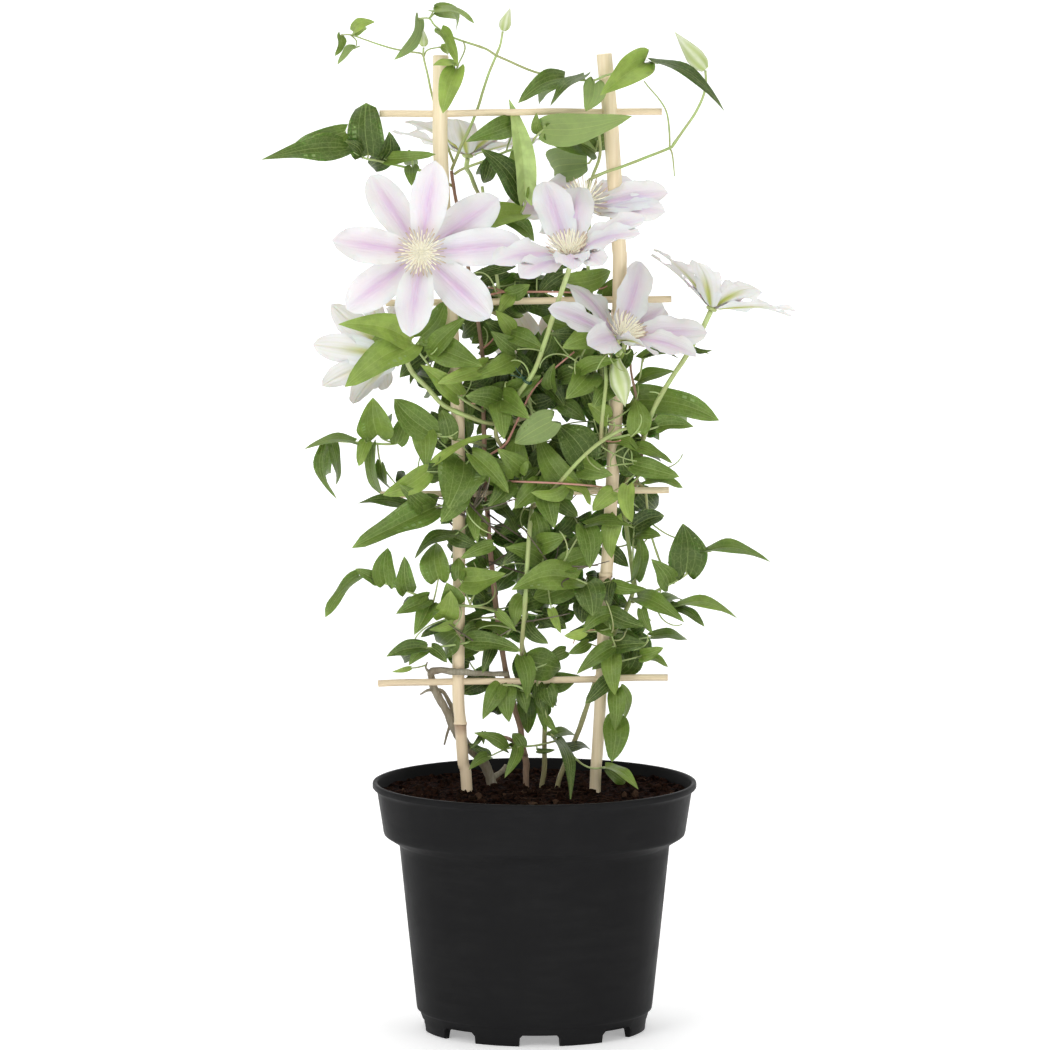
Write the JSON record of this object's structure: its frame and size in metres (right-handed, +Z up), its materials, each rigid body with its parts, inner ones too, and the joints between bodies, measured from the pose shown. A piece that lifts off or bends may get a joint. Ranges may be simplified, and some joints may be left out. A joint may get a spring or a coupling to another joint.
{
  "type": "potted clematis",
  "caption": "Flowering climber with pale star-shaped blooms on a two-cane bamboo trellis, in a round tapered nursery pot filled with peat.",
  "frame": {"origin": "on the ground, at the pot's centre line, which is within 4 mm of the middle of the whole plant's footprint", "axes": "+Z up the pot's centre line; -Y towards the viewer of the trellis's face; +X to that viewer's right, along the rungs"},
  "size_m": [0.3742, 0.2431, 0.7262],
  "materials": {
    "black_plastic": "satin black, lightly mottled",
    "peat": "rough, crumbly",
    "bamboo": "dry and satin, with fine streaks",
    "old_wood": "dull, flaking",
    "brown_bark": "dull red-brown",
    "green_stem": "smooth, fine-haired",
    "leaf_green": "satin, veined",
    "young_green": "satin, veined",
    "petal": "soft sheen, ribbed",
    "cream": "matt",
    "bud_green": "downy",
    "tie_green": "satin"
  },
  "bodies": {
    "root": {"bloom_back_sepals": "petal", "bloom_back_stamens": "cream", "bloom_behind_sepals": "petal", "bloom_behind_stamens": "cream", "bloom_front_sepals": "petal", "bloom_front_stamens": "cream", "bloom_left_sepals": "petal", "bloom_left_stamens": "cream", "bloom_low_right_sepals": "petal", "bloom_low_right_stamens": "cream", "bloom_middle_sepals": "petal", "bloom_middle_stamens": "cream", "bloom_right_sepals": "petal", "bloom_right_stamens": "cream", "bloom_top_sepals": "petal", "bloom_top_stamens": "cream", "bud_nodding": "bud_green", "bud_right": "bud_green", "bud_small": "bud_green", "bud_top": "bud_green", "cane_left": "bamboo", "cane_right": "bamboo", "pot": "black_plastic", "rung_low": "bamboo", "rung_second": "bamboo", "rung_third": "bamboo", "rung_top": "bamboo", "shoot_right_bud": "green_stem", "shoot_small_bud": "young_green", "shoot_top": "young_green", "soil": "peat", "spray_behind_blooms": "leaf_green", "spray_centre": "leaf_green", "spray_centre_lower": "leaf_green", "spray_left": "leaf_green", "spray_left_lower": "leaf_green", "spray_left_middle": "leaf_green", "spray_left_upper": "leaf_green", "spray_low_front": "leaf_green", "spray_low_left": "leaf_green", "spray_low_middle": "leaf_green", "spray_low_right": "leaf_green", "spray_middle_lower": "leaf_green", "spray_middle_right": "leaf_green", "spray_right_back": "leaf_green", "spray_right_lower": "leaf_green", "spray_right_middle": "leaf_green", "spray_top_middle": "leaf_green", "spray_upper_left": "leaf_green", "spray_upper_right": "leaf_green", "stem_brown": "brown_bark", "stem_old_wood": "old_wood", "stem_right_brown": "brown_bark", "twist_tie": "tie_green", "vine_middle": "green_stem", "vine_right": "green_stem"}
  },
  "joints": []
}
